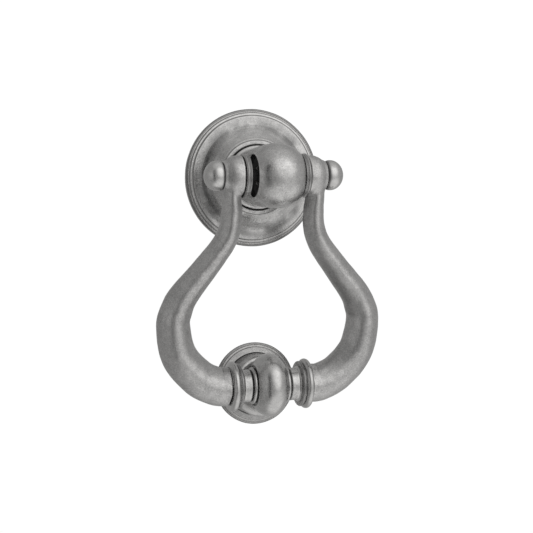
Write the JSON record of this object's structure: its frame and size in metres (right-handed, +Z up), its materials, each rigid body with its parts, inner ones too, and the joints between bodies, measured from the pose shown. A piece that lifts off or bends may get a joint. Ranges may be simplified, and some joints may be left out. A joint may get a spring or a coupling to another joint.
{
  "type": "door knocker",
  "caption": "Loop door knocker in antique pewter: a round rose carries a ball-ended post, and a pear-shaped loop with a striking ball swings on it down to a strike plate.",
  "frame": {"origin": "centre of the rose's back, on the door's face", "axes": "+X to the right as seen facing the door, +Y into the door, +Z up"},
  "size_m": [0.1232, 0.0868, 0.1747],
  "materials": {
    "pewter_finish": "cast metal with a matte antique pewter patina, mottled grey with darker grooves",
    "steel": "plain turned steel",
    "bronze": "plain bearing bronze"
  },
  "bodies": {
    "door_side": {"rose": "pewter_finish", "post": "pewter_finish", "left_post_bush": "bronze", "right_post_bush": "bronze", "post_stud": "steel", "post_locating_pin": "steel", "strike_plate": "pewter_finish", "strike_button": "pewter_finish", "strike_stud": "steel", "button_locating_pin": "steel"},
    "loop": {"pivot_pin": "steel", "left_spacer_ring": "pewter_finish", "right_spacer_ring": "pewter_finish", "left_end_knob": "pewter_finish", "right_end_knob": "pewter_finish", "left_arm": "pewter_finish", "right_arm": "pewter_finish", "left_collar": "pewter_finish", "right_collar": "pewter_finish", "left_neck_ring": "pewter_finish", "right_neck_ring": "pewter_finish", "striking_ball": "pewter_finish", "tie_rod": "steel"}
  },
  "joints": [
    {"name": "loop_swing", "type": "hinge", "parent": "door_side", "child": "loop", "pos_m": [-0.0014, -0.0476, 0], "axis": [-1, 0, 0], "range_deg": [0, 200]}
  ]
}
